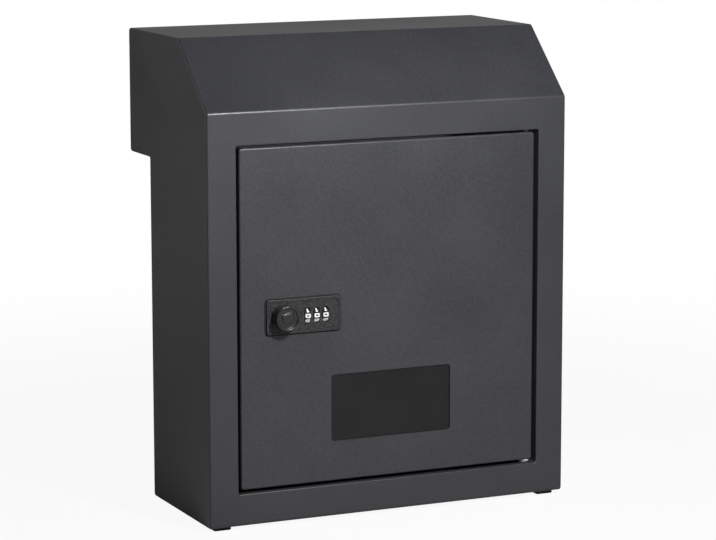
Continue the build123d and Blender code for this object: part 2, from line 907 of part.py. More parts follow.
def main():
    """Writes one STEP file for each node."""
    os.makedirs("parts", exist_ok=True)
    for name, shape in all_nodes().items():
        if isinstance(shape, list):
            shape = Compound(children=shape)
        export_step(shape, f"parts/{name}.step")


main()
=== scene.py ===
"""Looks of the through-wall mailbox.

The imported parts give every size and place. This script gives them their finishes, makes the
numbers, the knob, the fasteners and the small moulded pieces in full detail, and sets up a plain
studio with the photograph's view. Lengths are metres, or millimetres where a name ends in _mm.
Every piece stands at the origin, with its place in its mesh.
"""

import json
import logging
import math
from dataclasses import dataclass
from enum import Enum

import bmesh
import bpy
import numpy as np
from mathutils import Matrix, Vector


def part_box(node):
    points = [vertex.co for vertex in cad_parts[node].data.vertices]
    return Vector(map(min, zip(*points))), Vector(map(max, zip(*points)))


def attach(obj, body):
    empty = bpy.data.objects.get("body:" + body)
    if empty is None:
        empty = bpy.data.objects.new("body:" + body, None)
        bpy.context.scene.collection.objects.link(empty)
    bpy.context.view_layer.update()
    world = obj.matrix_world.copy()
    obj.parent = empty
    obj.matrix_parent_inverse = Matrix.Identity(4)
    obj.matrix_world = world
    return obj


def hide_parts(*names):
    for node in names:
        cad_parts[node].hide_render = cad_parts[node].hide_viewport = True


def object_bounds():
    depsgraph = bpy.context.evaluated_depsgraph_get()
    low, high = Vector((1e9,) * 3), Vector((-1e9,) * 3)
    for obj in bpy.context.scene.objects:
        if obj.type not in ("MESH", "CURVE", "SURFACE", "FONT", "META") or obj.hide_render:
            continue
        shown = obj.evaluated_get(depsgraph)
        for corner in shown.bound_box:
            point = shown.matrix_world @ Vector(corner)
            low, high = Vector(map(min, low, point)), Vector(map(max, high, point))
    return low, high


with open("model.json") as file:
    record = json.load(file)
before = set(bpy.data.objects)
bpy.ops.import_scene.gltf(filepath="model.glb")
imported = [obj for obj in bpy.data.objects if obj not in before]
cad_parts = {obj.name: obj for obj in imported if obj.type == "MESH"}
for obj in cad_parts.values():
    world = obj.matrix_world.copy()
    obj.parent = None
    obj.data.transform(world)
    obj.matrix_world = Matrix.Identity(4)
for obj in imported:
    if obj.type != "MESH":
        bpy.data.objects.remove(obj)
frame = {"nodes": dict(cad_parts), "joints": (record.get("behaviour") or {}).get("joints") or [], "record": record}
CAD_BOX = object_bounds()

LOG = logging.getLogger("mailbox")
MM = 0.001
WHITE = (1.0, 1.0, 1.0, 1.0)
FULL_TURN = 2 * math.pi
Array = np.ndarray
Colour = tuple[float, float, float]
Point = tuple[float, float, float]
NOISE_SPAN = (0.3, 0.7)  # where most of a noise's values lie
CREASE_DEG = 40.0  # an edge that turns by more than this stays sharp
WELD = 1e-6  # points nearer to each other than this, in metres, are made one


class Expr:
    """A value carried by a shader socket, so that shader maths reads as plain arithmetic."""

    def __init__(self, graph: "Graph", socket: bpy.types.NodeSocket) -> None:
        """Wraps a socket.

        Args:
            graph: The node tree that the socket belongs to.
            socket: The output socket that carries the value.
        """
        self.graph = graph
        self.socket = socket

    def maths(self, operation: str, *values: "Expr | float") -> "Expr":
        """Adds a Math node.

        Args:
            operation: The node's operation.
            values: Its inputs in order.

        Returns:
            The node's result.
        """
        return self.graph.node("ShaderNodeMath", {"operation": operation}, dict(enumerate(values)))

    def __add__(self, other: "Expr | float") -> "Expr":
        """Sum."""
        return self.maths("ADD", self, other)

    def __radd__(self, other: float) -> "Expr":
        """Sum with a number on the left."""
        return self.maths("ADD", other, self)

    def __sub__(self, other: "Expr | float") -> "Expr":
        """Difference."""
        return self.maths("SUBTRACT", self, other)

    def __rsub__(self, other: float) -> "Expr":
        """Difference from a number on the left."""
        return self.maths("SUBTRACT", other, self)

    def __mul__(self, other: "Expr | float") -> "Expr":
        """Product."""
        return self.maths("MULTIPLY", self, other)

    def __rmul__(self, other: float) -> "Expr":
        """Product with a number on the left."""
        return self.maths("MULTIPLY", other, self)

    def highest(self, other: "Expr | float") -> "Expr":
        """The larger of two values."""
        return self.maths("MAXIMUM", self, other)

    def smooth(self, low: float, high: float) -> "Expr":
        """Rises smoothly from 0 at low to 1 at high.

        Args:
            low: Value below which the result is 0.
            high: Value above which the result is 1.

        Returns:
            The smooth step.
        """
        settings = {"interpolation_type": "SMOOTHSTEP"}
        return self.graph.node("ShaderNodeMapRange", settings, {0: self, 1: low, 2: high})


class Graph:
    """A shader node tree that is filled by expressions."""

    def __init__(self, tree: bpy.types.NodeTree) -> None:
        """Empties a tree.

        Args:
            tree: The node tree of a material or of the world.
        """
        self.tree = tree
        tree.nodes.clear()

    def put(self, socket: bpy.types.NodeSocket, value: "Expr | float | tuple") -> None:
        """Links an expression to a socket or sets a constant on it."""
        if isinstance(value, Expr):
            self.tree.links.new(value.socket, socket)
        else:
            socket.default_value = value

    def node(self, kind: str, settings: dict | None = None, inputs: dict | None = None,
             output: int | str = 0) -> Expr:
        """Adds any node.

        Args:
            kind: The node's type.
            settings: Its properties, such as a Math node's operation, set first.
            inputs: Values or expressions for its sockets, by index or name.
            output: The output socket to return.

        Returns:
            The chosen output as an expression.
        """
        made = self.tree.nodes.new(kind)
        for name, value in (settings or {}).items():
            setattr(made, name, value)
        for key, value in (inputs or {}).items():
            self.put(made.inputs[key], value)
        return Expr(self, made.outputs[output])

    def finish(self, kind: str, surface: Expr) -> None:
        """Adds the tree's output node and links the finished surface to it."""
        self.put(self.tree.nodes.new(kind).inputs["Surface"], surface)

    def place(self) -> Expr:
        """Position on the piece in metres."""
        return self.node("ShaderNodeTexCoord", output="Object")

    def noise(self, size_mm: float, detail: float = 2.0, stretch: Point = (1.0, 1.0, 1.0),
              shift: float = 0.0) -> Expr:
        """Cloudy noise, mostly within NOISE_SPAN.

        Args:
            size_mm: Width of one cloud.
            detail: How many finer layers it holds.
            stretch: Scale of the pattern along each axis.
            shift: Offset that sets one noise apart from another.

        Returns:
            The noise value.
        """
        inputs = {"Vector": self.place(), "Location": (shift,) * 3, "Scale": stretch}
        spot = self.node("ShaderNodeMapping", None, inputs)
        inputs = {"Vector": spot, "Scale": 1 / (size_mm * MM), "Detail": detail}
        return self.node("ShaderNodeTexNoise", None, inputs)

    def tint(self, factor: Expr, dark: Colour, light: Colour) -> Expr:
        """Blend of two colours by a factor between 0 and 1."""
        settings = {"data_type": "RGBA"}
        inputs = {0: factor, 6: (*dark, 1.0), 7: (*light, 1.0)}
        return self.node("ShaderNodeMix", settings, inputs, 2)


@dataclass(frozen=True)
class Finish:
    """A surface finish of one colour, varied by noises over the surface.

    Every noise lies around 0.5, so taking 0.5 from it gives a change in both directions.
    """

    slot: str
    colour: Colour
    roughness: float
    metallic: float = 0.0
    specular: float = 0.5
    relief_mm: float = 0.02

    def paint(self, graph: Graph) -> tuple[Expr, Expr, Expr]:
        """Works out the colour, the roughness and the height over the surface.

        Args:
            graph: The material's tree.

        Returns:
            Base colour, roughness and height from 0 to 1.
        """
        raise NotImplementedError

    def material(self) -> bpy.types.Material:
        """Builds the finish as one Principled material."""
        made = bpy.data.materials.new(self.slot)
        made.use_nodes = True
        graph = Graph(made.node_tree)
        colour, roughness, height = self.paint(graph)
        relief = {"Strength": 1.0, "Distance": self.relief_mm * MM, "Height": height}
        sockets = {
            "Base Color": colour,
            "Roughness": roughness,
            "Normal": graph.node("ShaderNodeBump", None, relief),
            "Metallic": self.metallic,
            "Specular IOR Level": self.specular,
        }
        sockets.update(self.constants())
        shader = graph.node("ShaderNodeBsdfPrincipled", None, sockets)
        graph.finish("ShaderNodeOutputMaterial", shader)
        return made

    def constants(self) -> dict[str, float]:
        """Further sockets that hold one number all over the surface."""
        return {}

    def shades(self, graph: Graph, tone: Expr, darkest: float, lightest: float) -> Expr:
        """Runs from a darker to a lighter shade of the finish's colour.

        Args:
            graph: The material's tree.
            tone: 0 where the surface is darkest, 1 where it is lightest.
            darkest: Factor on the colour at 0.
            lightest: Factor on the colour at 1, which stops at white.

        Returns:
            The colour over the surface.
        """
        dark, light = (
            tuple(min(1.0, part * factor) for part in self.colour) for factor in (darkest, lightest)
        )
        return graph.tint(tone, dark, light)


@dataclass(frozen=True)
class PowderCoat(Finish):
    """Fine-textured powder coat: a pebbled skin with paler and darker grains."""

    pebble_mm: float = 0.55
    grain_mm: float = 1.5
    peel_mm: float = 4.5
    cloud_mm: float = 70.0
    contrast: float = 0.3

    def paint(self, graph: Graph) -> tuple[Expr, Expr, Expr]:
        """Pebbles make the relief, grains and broad clouds vary the tone."""
        pebble = graph.noise(self.pebble_mm, 3.0)
        grain = graph.noise(self.grain_mm, shift=3.1)
        peel = graph.noise(self.peel_mm, 1.0, shift=7.7)
        cloud = graph.noise(self.cloud_mm, shift=1.9)
        tone = (0.5 * grain + 0.3 * pebble + 0.2 * cloud).smooth(*NOISE_SPAN)
        colour = self.shades(graph, tone, 1 - self.contrast, 1 + self.contrast)
        roughness = self.roughness + 0.25 * (pebble - 0.5) + 0.1 * (cloud - 0.5)
        height = 0.5 * pebble.smooth(0.25, 0.75) + 0.35 * grain + 0.15 * peel
        return colour, roughness, height


@dataclass(frozen=True)
class CastPaint(Finish):
    """Satin paint on a zinc die casting, with a mottled cast skin below it."""

    skin_mm: float = 0.8
    flow_mm: float = 1.7
    mark_mm: float = 9.0
    mottle: float = 0.7

    def paint(self, graph: Graph) -> tuple[Expr, Expr, Expr]:
        """A fine cast skin under broader mottling, with faint handling marks in the gloss."""
        skin = graph.noise(self.skin_mm)
        flow = graph.noise(self.flow_mm, shift=4.2)
        marks = graph.noise(self.mark_mm, 4.0, (1.0, 1.0, 0.3), 2.5)
        tone = (0.4 * skin + 0.6 * flow).smooth(0.36, 0.64)
        colour = self.shades(graph, tone, 1 - self.mottle, 1 + self.mottle)
        roughness = self.roughness + 0.4 * self.mottle * (flow - 0.5) + 0.2 * (marks - 0.5)
        return colour, roughness, 0.35 * skin + 0.65 * flow


@dataclass(frozen=True)
class Moulding(Finish):
    """Moulded plastic or rubber, with a spark-eroded skin."""

    skin_mm: float = 0.3
    flow_mm: float = 6.0

    def paint(self, graph: Graph) -> tuple[Expr, Expr, Expr]:
        """An eroded skin and slow changes of tone along the flow of the melt."""
        skin = graph.noise(self.skin_mm)
        flow = graph.noise(self.flow_mm, stretch=(1.0, 1.0, 0.4), shift=5.3)
        tone = (0.5 * skin + 0.5 * flow).smooth(*NOISE_SPAN)
        roughness = self.roughness + 0.15 * (skin - 0.5) + 0.1 * (flow - 0.5)
        return self.shades(graph, tone, 0.88, 1.1), roughness, skin


@dataclass(frozen=True)
class SmokedSheet(Finish):
    """Dark smoked acrylic sheet that shows a little of what is behind it."""

    wave_mm: float = 35.0
    haze_mm: float = 9.0
    alpha: float = 0.95

    def paint(self, graph: Graph) -> tuple[Expr, Expr, Expr]:
        """A polished face with a faint wave and a haze of fine wiping marks."""
        wave = graph.noise(self.wave_mm, 1.0)
        haze = graph.noise(self.haze_mm, 3.0, (0.25, 1.0, 1.0), 6.1)
        colour = self.shades(graph, wave.smooth(*NOISE_SPAN), 0.9, 1.1)
        return colour, self.roughness + 0.05 * (haze - 0.5), wave

    def constants(self) -> dict[str, float]:
        """How solid the sheet looks, the same all over."""
        return {"Alpha": self.alpha}


@dataclass(frozen=True)
class PlatedSteel(Finish):
    """Bright zinc plate or bare strip over rolled or turned steel."""

    streak_mm: float = 0.5
    streak_shape: Point = (1.0, 1.0, 0.08)
    mottle_mm: float = 2.2

    def paint(self, graph: Graph) -> tuple[Expr, Expr, Expr]:
        """Streaks of the rolling under a mottled plate."""
        streak = graph.noise(self.streak_mm, 3.0, self.streak_shape)
        mottle = graph.noise(self.mottle_mm, 3.0, shift=8.4)
        tone = (0.45 * streak + 0.55 * mottle).smooth(*NOISE_SPAN)
        roughness = self.roughness + 0.25 * (mottle - 0.5) + 0.15 * (streak - 0.5)
        return self.shades(graph, tone, 0.82, 1.12), roughness, streak


POWDER_GREY = (0.042, 0.043, 0.048)
FINISHES = (
    PowderCoat("cabinet_powder_coat", POWDER_GREY, 0.38, relief_mm=0.03),
    PowderCoat("door_powder_coat", POWDER_GREY, 0.38, relief_mm=0.03),
    CastPaint("lock_black", (0.028, 0.028, 0.03), 0.45, specular=0.4, relief_mm=0.12),
    CastPaint("knob_black", (0.02, 0.02, 0.022), 0.3, specular=0.6, relief_mm=0.008, mottle=0.12),
    Moulding("dial_black", (0.005, 0.005, 0.006), 0.5, specular=0.25),
    SmokedSheet("smoked_acrylic", (0.013, 0.013, 0.014), 0.34, specular=0.3, relief_mm=0.004),
    Moulding("bush_nylon", (0.93, 0.93, 0.92), 0.45, relief_mm=0.01),
    Moulding("black_rubber", (0.016, 0.016, 0.017), 0.75, relief_mm=0.03, skin_mm=0.5),
    PlatedSteel("zinc_steel", (0.6, 0.61, 0.63), 0.32, metallic=1.0, relief_mm=0.006),
    PlatedSteel("spring_steel", (0.42, 0.41, 0.39), 0.36, metallic=1.0, relief_mm=0.004),
)
NUMBER_PAINT = Moulding("number_paint", (0.97, 0.97, 0.96), 0.5, relief_mm=0.004, skin_mm=0.2)


class Way(Enum):
    """A direction along one of the frame's axes."""

    RIGHT = (1.0, 0.0, 0.0)
    LEFT = (-1.0, 0.0, 0.0)
    REAR = (0.0, 1.0, 0.0)
    FRONT = (0.0, -1.0, 0.0)
    UP = (0.0, 0.0, 1.0)
    DOWN = (0.0, 0.0, -1.0)


@dataclass(frozen=True)
class Seat:
    """A place for a piece that is drawn about its own axis.

    The local z runs the way of the axis. The local y runs up, or rearward where the axis is
    upright.
    """

    origin: Array
    axis: Way

    def place(self, local: Array) -> Array:
        """Carries local points to the part's frame.

        Args:
            local: Points with the last dimension x, y, z.

        Returns:
            origin + x times side + y times up + z times axis.
        """
        axis = np.array(self.axis.value)
        above = Way.REAR if self.axis in (Way.UP, Way.DOWN) else Way.UP
        side = np.cross(above.value, axis)
        return self.origin + local @ np.stack([side, np.cross(axis, side), axis])


def face_middle(low: Array, high: Array, way: Way) -> Array:
    """Middle of the face of a box that looks one way."""
    return (low + high) / 2 + np.array(way.value) * (high - low) / 2


class Shell:
    """Grids of points that are gathered into one object."""

    def __init__(self) -> None:
        """Starts with no points."""
        self.points: list[Array] = []
        self.faces: list[Array] = []
        self.count = 0

    def add(self, grid: Array, wrap_rows: bool = False, wrap_columns: bool = True) -> None:
        """Adds a grid whose neighbours are joined by quads.

        Args:
            grid: Points of shape rows, columns, 3.
            wrap_rows: Whether the last row joins the first.
            wrap_columns: Whether the last column joins the first.
        """
        rows, columns = grid.shape[:2]
        index = np.arange(rows * columns).reshape(rows, columns) + self.count
        if wrap_rows:
            index = np.concatenate([index, index[:1]], axis=0)
        if wrap_columns:
            index = np.concatenate([index, index[:, :1]], axis=1)
        corners = [index[:-1, :-1], index[1:, :-1], index[1:, 1:], index[:-1, 1:]]
        self.faces.append(np.stack(corners, axis=-1).reshape(-1, 4))
        self.points.append(grid.reshape(-1, 3))
        self.count += rows * columns

    def build(self, name: str, finish: bpy.types.Material,
              crease_deg: float = CREASE_DEG) -> bpy.types.Object:
        """Makes the object: doubles merged, poles closed, faces outward, shading smooth.

        Args:
            name: The piece's name.
            finish: Its material.
            crease_deg: Angle above which an edge stays sharp.

        Returns:
            The new object, which stands at the origin.
        """
        mesh = bpy.data.meshes.new(name)
        points, faces = np.concatenate(self.points), np.concatenate(self.faces)
        mesh.from_pydata(points.tolist(), [], faces.tolist())
        work = bmesh.new()
        work.from_mesh(mesh)
        bmesh.ops.remove_doubles(work, verts=work.verts, dist=WELD)
        bmesh.ops.recalc_face_normals(work, faces=work.faces)
        work.to_mesh(mesh)
        work.free()
        mesh.materials.append(finish)
        mesh.shade_smooth()
        mesh.set_sharp_from_angle(angle=math.radians(crease_deg))
        piece = bpy.data.objects.new(name, mesh)
        bpy.context.scene.collection.objects.link(piece)
        return piece


def ring(sides: int) -> Array:
    """Angles of points spaced evenly round a full turn."""
    return np.linspace(0, FULL_TURN, sides, endpoint=False)


def ease(value: Array, low: float, high: float) -> Array:
    """Smooth step t * t * (3 - 2 t), with t running from 0 at low to 1 at high."""
    t = np.clip((value - low) / (high - low), 0.0, 1.0)
    return t * t * (3 - 2 * t)


def rounded_profile(corners: list[tuple[float, float, float]], steps: int = 5) -> Array:
    """Profile through corners, each one cut by a quadratic curve.

    Between the points where the curve leaves the two sides, at distance r from the corner c, the
    curve is (1 - t) ** 2 * a + 2 * t * (1 - t) * c + t ** 2 * b.

    Args:
        corners: Radius, height and rounding of each corner.
        steps: Spans in each rounding.

    Returns:
        Points of radius and height.
    """
    data = np.array(corners, float)
    place, rounding = data[:, :2], data[:, 2]
    t = np.linspace(0, 1, steps + 1)[:, None]
    runs = [place[:1]]
    for i in range(1, len(place) - 1):
        back, ahead = place[i - 1] - place[i], place[i + 1] - place[i]
        a = place[i] + back * min(0.5, rounding[i] / np.linalg.norm(back))
        b = place[i] + ahead * min(0.5, rounding[i] / np.linalg.norm(ahead))
        runs.append((1 - t) ** 2 * a + 2 * t * (1 - t) * place[i] + t**2 * b)
    runs.append(place[-1:])
    return np.concatenate(runs)


def divided(profile: Array, longest: float) -> Array:
    """Profile with its long spans divided evenly, none longer than a length."""
    spans = np.linalg.norm(np.diff(profile, axis=0), axis=1)
    counts = np.maximum(1, np.ceil(spans / longest).astype(int))
    sides = zip(profile[:-1], profile[1:], counts)
    runs = [a + (b - a) * np.arange(n)[:, None] / n for a, b, n in sides]
    return np.concatenate([*runs, profile[-1:]])


def turned(profile: Array, sides: int) -> Array:
    """Surface of revolution: (r cos a, r sin a, h) for a profile of r and h and an angle a.

    Args:
        profile: Points of radius and height.
        sides: Points round the turn.

    Returns:
        Grid of local points, one row for each point of the profile.
    """
    angle = ring(sides)
    radius, height = profile[:, :1], profile[:, 1:]
    surface = [radius * np.cos(angle), radius * np.sin(angle), height * np.ones(sides)]
    return np.stack(surface, axis=-1)


def node_box(node: str) -> tuple[Array, Array]:
    """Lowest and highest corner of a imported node, in metres."""
    low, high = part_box(node)
    return np.array(low), np.array(high)


def node_centre(node: str) -> Array:
    """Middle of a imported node's box, in metres."""
    low, high = node_box(node)
    return (low + high) / 2


def clusters(node: str, count: int) -> list[tuple[Array, Array]]:
    """Boxes of the separate pieces in one node, which lie on different sides of its middle.

    Args:
        node: The node's name.
        count: How many pieces it holds, 1, 2 or 4.

    Returns:
        Lowest and highest corner of each piece.
    """
    mesh = frame["nodes"][node].data
    points = np.empty(len(mesh.vertices) * 3, np.float32)
    mesh.vertices.foreach_get("co", points)
    points = points.reshape(-1, 3).astype(float)
    low, high = points.min(axis=0), points.max(axis=0)
    order = np.argsort(low - high)
    axes = order[: count.bit_length() - 1]
    sides = points[:, axes] > ((low + high) / 2)[axes]
    keys = sides @ (2 ** np.arange(len(axes)))
    pieces = [points[keys == key] for key in np.unique(keys)]
    return [(piece.min(axis=0), piece.max(axis=0)) for piece in pieces]


class Recess(Enum):
    """Drive of a screw head."""

    CROSS = "cross"
    HEX = "hex"


@dataclass(frozen=True)
class MachineScrew:
    """Screw with a rounded head, a drive recess and a rolled thread."""

    head_radius: float
    head_height: float
    shank_radius: float
    shank_length: float
    recess: Recess = Recess.CROSS
    slot_share: float = 0.13  # half width of a cross's slot, of the head's radius
    cross_share: float = 0.58  # reach of a cross
    cross_depth: float = 0.55  # of the head's height
    hex_share: float = 0.52  # apothem of a hex
    hex_depth: float = 0.7
    crown_drop: float = 0.16  # fall of the crown to its rim, of the head's height
    crown_rings: int = 14
    pitch_share: float = 0.35  # of the shank's radius
    thread_depth: float = 0.12
    tip_share: float = 0.65  # radius of the tip's flat end, of the shank's
    sides: int = 40

    def recess_depth(self, x: Array, y: Array) -> Array:
        """Depth of the drive at a point of the head.

        A cross is the area within a narrow band of either axis, and a hex is the area within six
        flats. Both fall off smoothly at their walls.

        Args:
            x: Local x.
            y: Local y.

        Returns:
            Depth below the head's crown.
        """
        if self.recess is Recess.CROSS:
            narrow = np.minimum(np.abs(x), np.abs(y)) / (self.slot_share * self.head_radius)
            long = np.maximum(np.abs(x), np.abs(y)) / (self.cross_share * self.head_radius)
            inside = (1 - ease(narrow, 0.8, 1.25)) * (1 - ease(long, 0.85, 1.1))
            depth = self.cross_depth
        else:
            turns = np.arange(3) * math.pi / 3
            flats = np.abs(x[..., None] * np.cos(turns) + y[..., None] * np.sin(turns)).max(axis=-1)
            inside = 1 - ease(flats / (self.hex_share * self.head_radius), 0.92, 1.08)
            depth = self.hex_depth
        return depth * self.head_height * inside

    def surface(self) -> Array:
        """Head and shank as one grid.

        The crown falls from its middle as the square of the radius, and the recess is sunk in it.
        The shank's radius r is cut by a wave of the thread's depth, whose phase is height over
        pitch minus angle over a full turn.

        Returns:
            Grid of local points. The head's seat is at height 0 and the shank runs to plus z.
        """
        radius, height, shank_radius = self.head_radius, self.head_height, self.shank_radius
        share = np.arange(self.crown_rings) / self.crown_rings
        crown = np.stack([radius * share, height * (self.crown_drop * share**2 - 1)], axis=1)
        rim = rounded_profile([
            (radius * 0.97, height * (self.crown_drop - 1), 0.0),
            (radius, -0.8 * height, 0.1 * height),
            (radius, 0.0, 0.06 * height),
            (shank_radius, 0.0, 0.0),
        ])
        pitch = self.pitch_share * shank_radius
        tip = self.shank_length - 0.4 * shank_radius
        shank = divided(np.array([(shank_radius, 0.0), (shank_radius, tip)]), 0.06 * pitch)
        end = [(self.tip_share * shank_radius, self.shank_length), (0.0, self.shank_length)]
        grid = turned(np.concatenate([crown, rim, shank[1:], end]), self.sides)
        top = grid[: len(crown)]
        top[..., 2] += self.recess_depth(top[..., 0], top[..., 1])
        first = len(crown) + len(rim)
        thread = grid[first : first + len(shank) - 1]
        angle = np.arctan2(thread[..., 1], thread[..., 0])
        wave = 0.5 + 0.5 * np.cos(FULL_TURN * thread[..., 2] / pitch - angle)
        cut = 1 - self.thread_depth * wave * ease(thread[..., 2], 0, pitch)
        thread[..., :2] *= cut[..., None]
        return grid


@dataclass(frozen=True)
class HexNut:
    """Hexagon nut with both faces chamfered."""

    corner_radius: float
    height: float
    bore_radius: float
    bevel_share: float = 0.14  # of the height
    mouth_share: float = 1.12  # radius of the bore's countersink, of the bore's
    sides: int = 72

    def surface(self) -> Array:
        """Outer radius min(flat / cos(a), cone(h)), closed round a bore.

        The angle a is measured from the middle of the nearest flat, and the cone narrows towards
        each face.

        Returns:
            Closed grid of local points, standing on height 0.
        """
        apothem = self.corner_radius * math.cos(math.pi / 6)
        bevel, bore = self.bevel_share * self.height, self.bore_radius
        lower = [
            (self.mouth_share * bore, 0.0),
            (0.98 * apothem, 0.0),
            (1.06 * apothem, bevel / 2),
            (1.2 * apothem, bevel),
        ]
        upper = [(radius, self.height - height) for radius, height in reversed(lower)]
        inside = [(bore, 0.9 * self.height), (bore, 0.1 * self.height)]
        grid = turned(np.array(lower + upper + inside), self.sides)
        sixth = math.pi / 6
        nearest = (ring(self.sides) + sixth) % (2 * sixth) - sixth
        radius = np.hypot(grid[..., 0], grid[..., 1])
        grid[..., :2] *= (np.minimum(radius, apothem / np.cos(nearest)) / radius)[..., None]
        return grid


@dataclass(frozen=True)
class PushNut:
    """Domed spring washer whose teeth grip a plain stud."""

    radius: float
    height: float
    bore_radius: float
    teeth: int = 6
    sheet: float = 0.3 * MM
    rings: int = 14
    tooth_sides: int = 12
    root_share: float = 0.62  # radius at which the slits end, of the washer's

    def surface(self) -> Array:
        """Dome h = height * (1 - (r / R) ** 2), whose inner edge is pressed down at each slit.

        Returns:
            Closed grid of local points, standing on height 0 with the dome towards plus z.
        """
        across = np.linspace(self.radius, self.bore_radius, self.rings)
        rise = (self.height - self.sheet) * (1 - (across / self.radius) ** 2)
        under = np.stack([across, rise], axis=1)
        over = np.stack([across[::-1], rise[::-1] + self.sheet], axis=1)
        sides = self.tooth_sides * self.teeth
        grid = turned(np.concatenate([under, over]), sides)
        slit = ease(np.cos(self.teeth * ring(sides)), 0.55, 0.95)
        radius = np.hypot(grid[..., 0], grid[..., 1])
        inner = 1 - ease(radius, self.bore_radius, self.root_share * self.radius)
        grid[..., 2] = np.maximum(grid[..., 2] - 0.5 * self.height * slit * inner, 0.0)
        return grid


class Workshop:
    """The materials by slot, and the way a new piece joins the object."""

    def __init__(self) -> None:
        """Builds each finish once."""
        self.materials = {finish.slot: finish.material() for finish in FINISHES}
        self.number_paint = NUMBER_PAINT.material()

    def dress_packed_nodes(self) -> None:
        """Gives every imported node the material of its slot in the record."""
        for part in frame["record"]["subparts"]:
            node = frame["nodes"][part["node"]]
            if not node.material_slots:
                node.data.materials.append(None)
            for slot in node.material_slots:
                slot.material = self.materials[part["material_slot"]]

    def add(self, shell: Shell, name: str, slot: str, body: str, replaced: str | None = None,
            crease_deg: float = CREASE_DEG) -> None:
        """Makes a piece from a shell and puts it on its body.

        Args:
            shell: The piece's surface.
            name: Its name.
            slot: The record's material slot.
            body: The body that it moves with.
            replaced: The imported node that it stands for.
            crease_deg: Angle above which an edge stays sharp.
        """
        piece = shell.build(name, self.materials[slot], crease_deg)
        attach(piece, body)
        if replaced:
            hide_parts(replaced)
        LOG.info("%s rides on %s", name, body)


@dataclass
class Knob:
    """Turn knob: a drafted side, a raised rim, a dished face and a low thumb boss."""

    shop: Workshop
    rim_width: float = 1.6 * MM
    dish_depth: float = 1.2 * MM
    boss_height: float = 1.0 * MM
    boss_half: tuple[float, float] = (5.2 * MM, 4.2 * MM)
    boss_edge: tuple[float, float] = (0.84, 1.1)  # where its side starts and ends, as q
    boss_turn_deg: float = 12.0
    draft: float = 0.25 * MM
    base_chamfer: float = 0.5 * MM
    collar_height: float = 2.2 * MM
    collar_step: float = 0.35 * MM
    socket_radius: float = 4.0 * MM
    socket_depth: float = 6.5 * MM
    floor_rings: int = 41
    sides: int = 144

    def build(self) -> None:
        """Makes the knob in place of the plain one."""
        low, high = node_box("lock_knob")
        radius = (high[0] - low[0]) / 2
        height = high[1] - low[1]
        seat = Seat(face_middle(low, high, Way.REAR), Way.FRONT)
        shell = Shell()
        shell.add(seat.place(self.surface(radius, height)))
        self.shop.add(shell, "knob_cap", "knob_black", "knob", "lock_knob")

    def surface(self, radius: float, height: float) -> Array:
        """Outside, face and spindle socket as one grid.

        The face is a profile of revolution whose floor is lifted by the boss, which is
        boss_height * (1 - ease(q)), where q = ((x / a) ** 4 + (y / b) ** 4) ** (1 / 4) on turned
        axes.

        Args:
            radius: Radius at the base.
            height: Height from the base to the rim.

        Returns:
            Grid of local points, with the base at height 0 and the face towards plus z.
        """
        face = radius - self.draft
        floor = height - self.dish_depth
        dish = face - self.rim_width
        flat = dish - 2.0 * MM
        outside = rounded_profile([
            (self.socket_radius, self.socket_depth, 0.0),
            (self.socket_radius, 0.0, 0.2 * MM),
            (radius - self.base_chamfer, 0.0, 0.1 * MM),
            (radius, self.base_chamfer, 0.3 * MM),
            (radius, self.collar_height, 0.2 * MM),
            (radius - self.collar_step, self.collar_height + 0.4 * MM, 0.2 * MM),
            (face, height, 0.6 * MM),
            (dish, height, 0.6 * MM),
            (dish - 0.7 * MM, floor, 0.5 * MM),
            (flat, floor, 0.0),
        ], steps=7)
        across = np.linspace(flat, 0, self.floor_rings + 1)[1:]
        inner = np.stack([across, np.full_like(across, floor)], axis=1)
        socket = [(0.0, self.socket_depth)]
        grid = turned(np.concatenate([socket, divided(outside, 0.8 * MM), inner]), self.sides)
        turn = math.radians(self.boss_turn_deg)
        x = grid[..., 0] * math.cos(turn) + grid[..., 1] * math.sin(turn)
        y = grid[..., 1] * math.cos(turn) - grid[..., 0] * math.sin(turn)
        reach = ((x / self.boss_half[0]) ** 4 + (y / self.boss_half[1]) ** 4) ** 0.25
        on_floor = np.abs(grid[..., 2] - floor) < WELD
        grid[..., 2] += on_floor * self.boss_height * (1 - ease(reach, *self.boss_edge))
        return grid


# Strokes of each digit, as points in half widths and half heights about its middle.
DIGIT_STROKES: dict[int, list[list[tuple[float, float]]]] = {
    0: [[(0, 1), (-1, 1), (-1, -1), (1, -1), (1, 1), (0, 1)]],
    1: [[(-0.35, 0.85), (-0.05, 1), (0.05, -0.9)], [(-0.55, -1), (0.65, -1)]],
    2: [[(-1, 0.6), (-0.8, 1), (1, 1), (1, 0.1), (-1, -0.4), (-1, -1), (1, -1)]],
    3: [[(-1, 1), (1, 1), (1, 0), (-0.2, 0)], [(-0.2, 0), (1, 0), (1, -1), (-1, -1)]],
    4: [[(0.5, -1), (0.5, 1), (-1, -0.4), (1, -0.4)]],
    5: [[(1, 1), (-1, 1), (-1, 0.15), (1, 0.15), (1, -1), (-1, -1)]],
    6: [[(1, 1), (-1, 1), (-1, -1), (1, -1), (1, 0.05), (-0.9, 0.05)]],
    7: [[(-1, 1), (1, 1), (0.8, 0.3), (-0.3, -1)]],
    8: [[(0, 0.05), (-1, 0.05), (-1, 1), (1, 1), (1, 0.05), (0, 0.05)],
        [(0, 0.05), (-1, 0.05), (-1, -1), (1, -1), (1, 0.05), (0, 0.05)]],
    9: [[(-1, -1), (1, -1), (1, 1), (-1, 1), (-1, -0.05), (0.9, -0.05)]],
}


